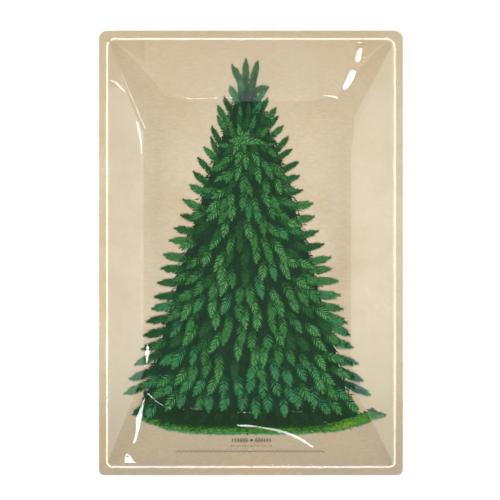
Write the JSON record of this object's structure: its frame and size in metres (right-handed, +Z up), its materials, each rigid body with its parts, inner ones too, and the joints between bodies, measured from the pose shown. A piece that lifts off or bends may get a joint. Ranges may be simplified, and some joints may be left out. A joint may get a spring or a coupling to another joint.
{
  "type": "decoupage glass serving tray",
  "caption": "Shallow rectangular serving tray of clear bent glass with gently sloping walls and a flat rim, backed by a sheet printed with a tall conifer.",
  "frame": {"origin": "on the surface that the tray stands on, under the middle of its outline", "axes": "+Z up, +Y along the tray's length towards the top of the printed picture, +X to the right of the picture"},
  "size_m": [0.278, 0.4064, 0.0243],
  "materials": {
    "clear_glass": "polished, clear",
    "printed_paper": "aged cream paper with a printed dark green conifer, sealed at the back",
    "felt": "pressed felt"
  },
  "bodies": {
    "root": {"glass_tray": "clear_glass", "print_sheet": "printed_paper", "base_pad": "felt"}
  },
  "joints": []
}
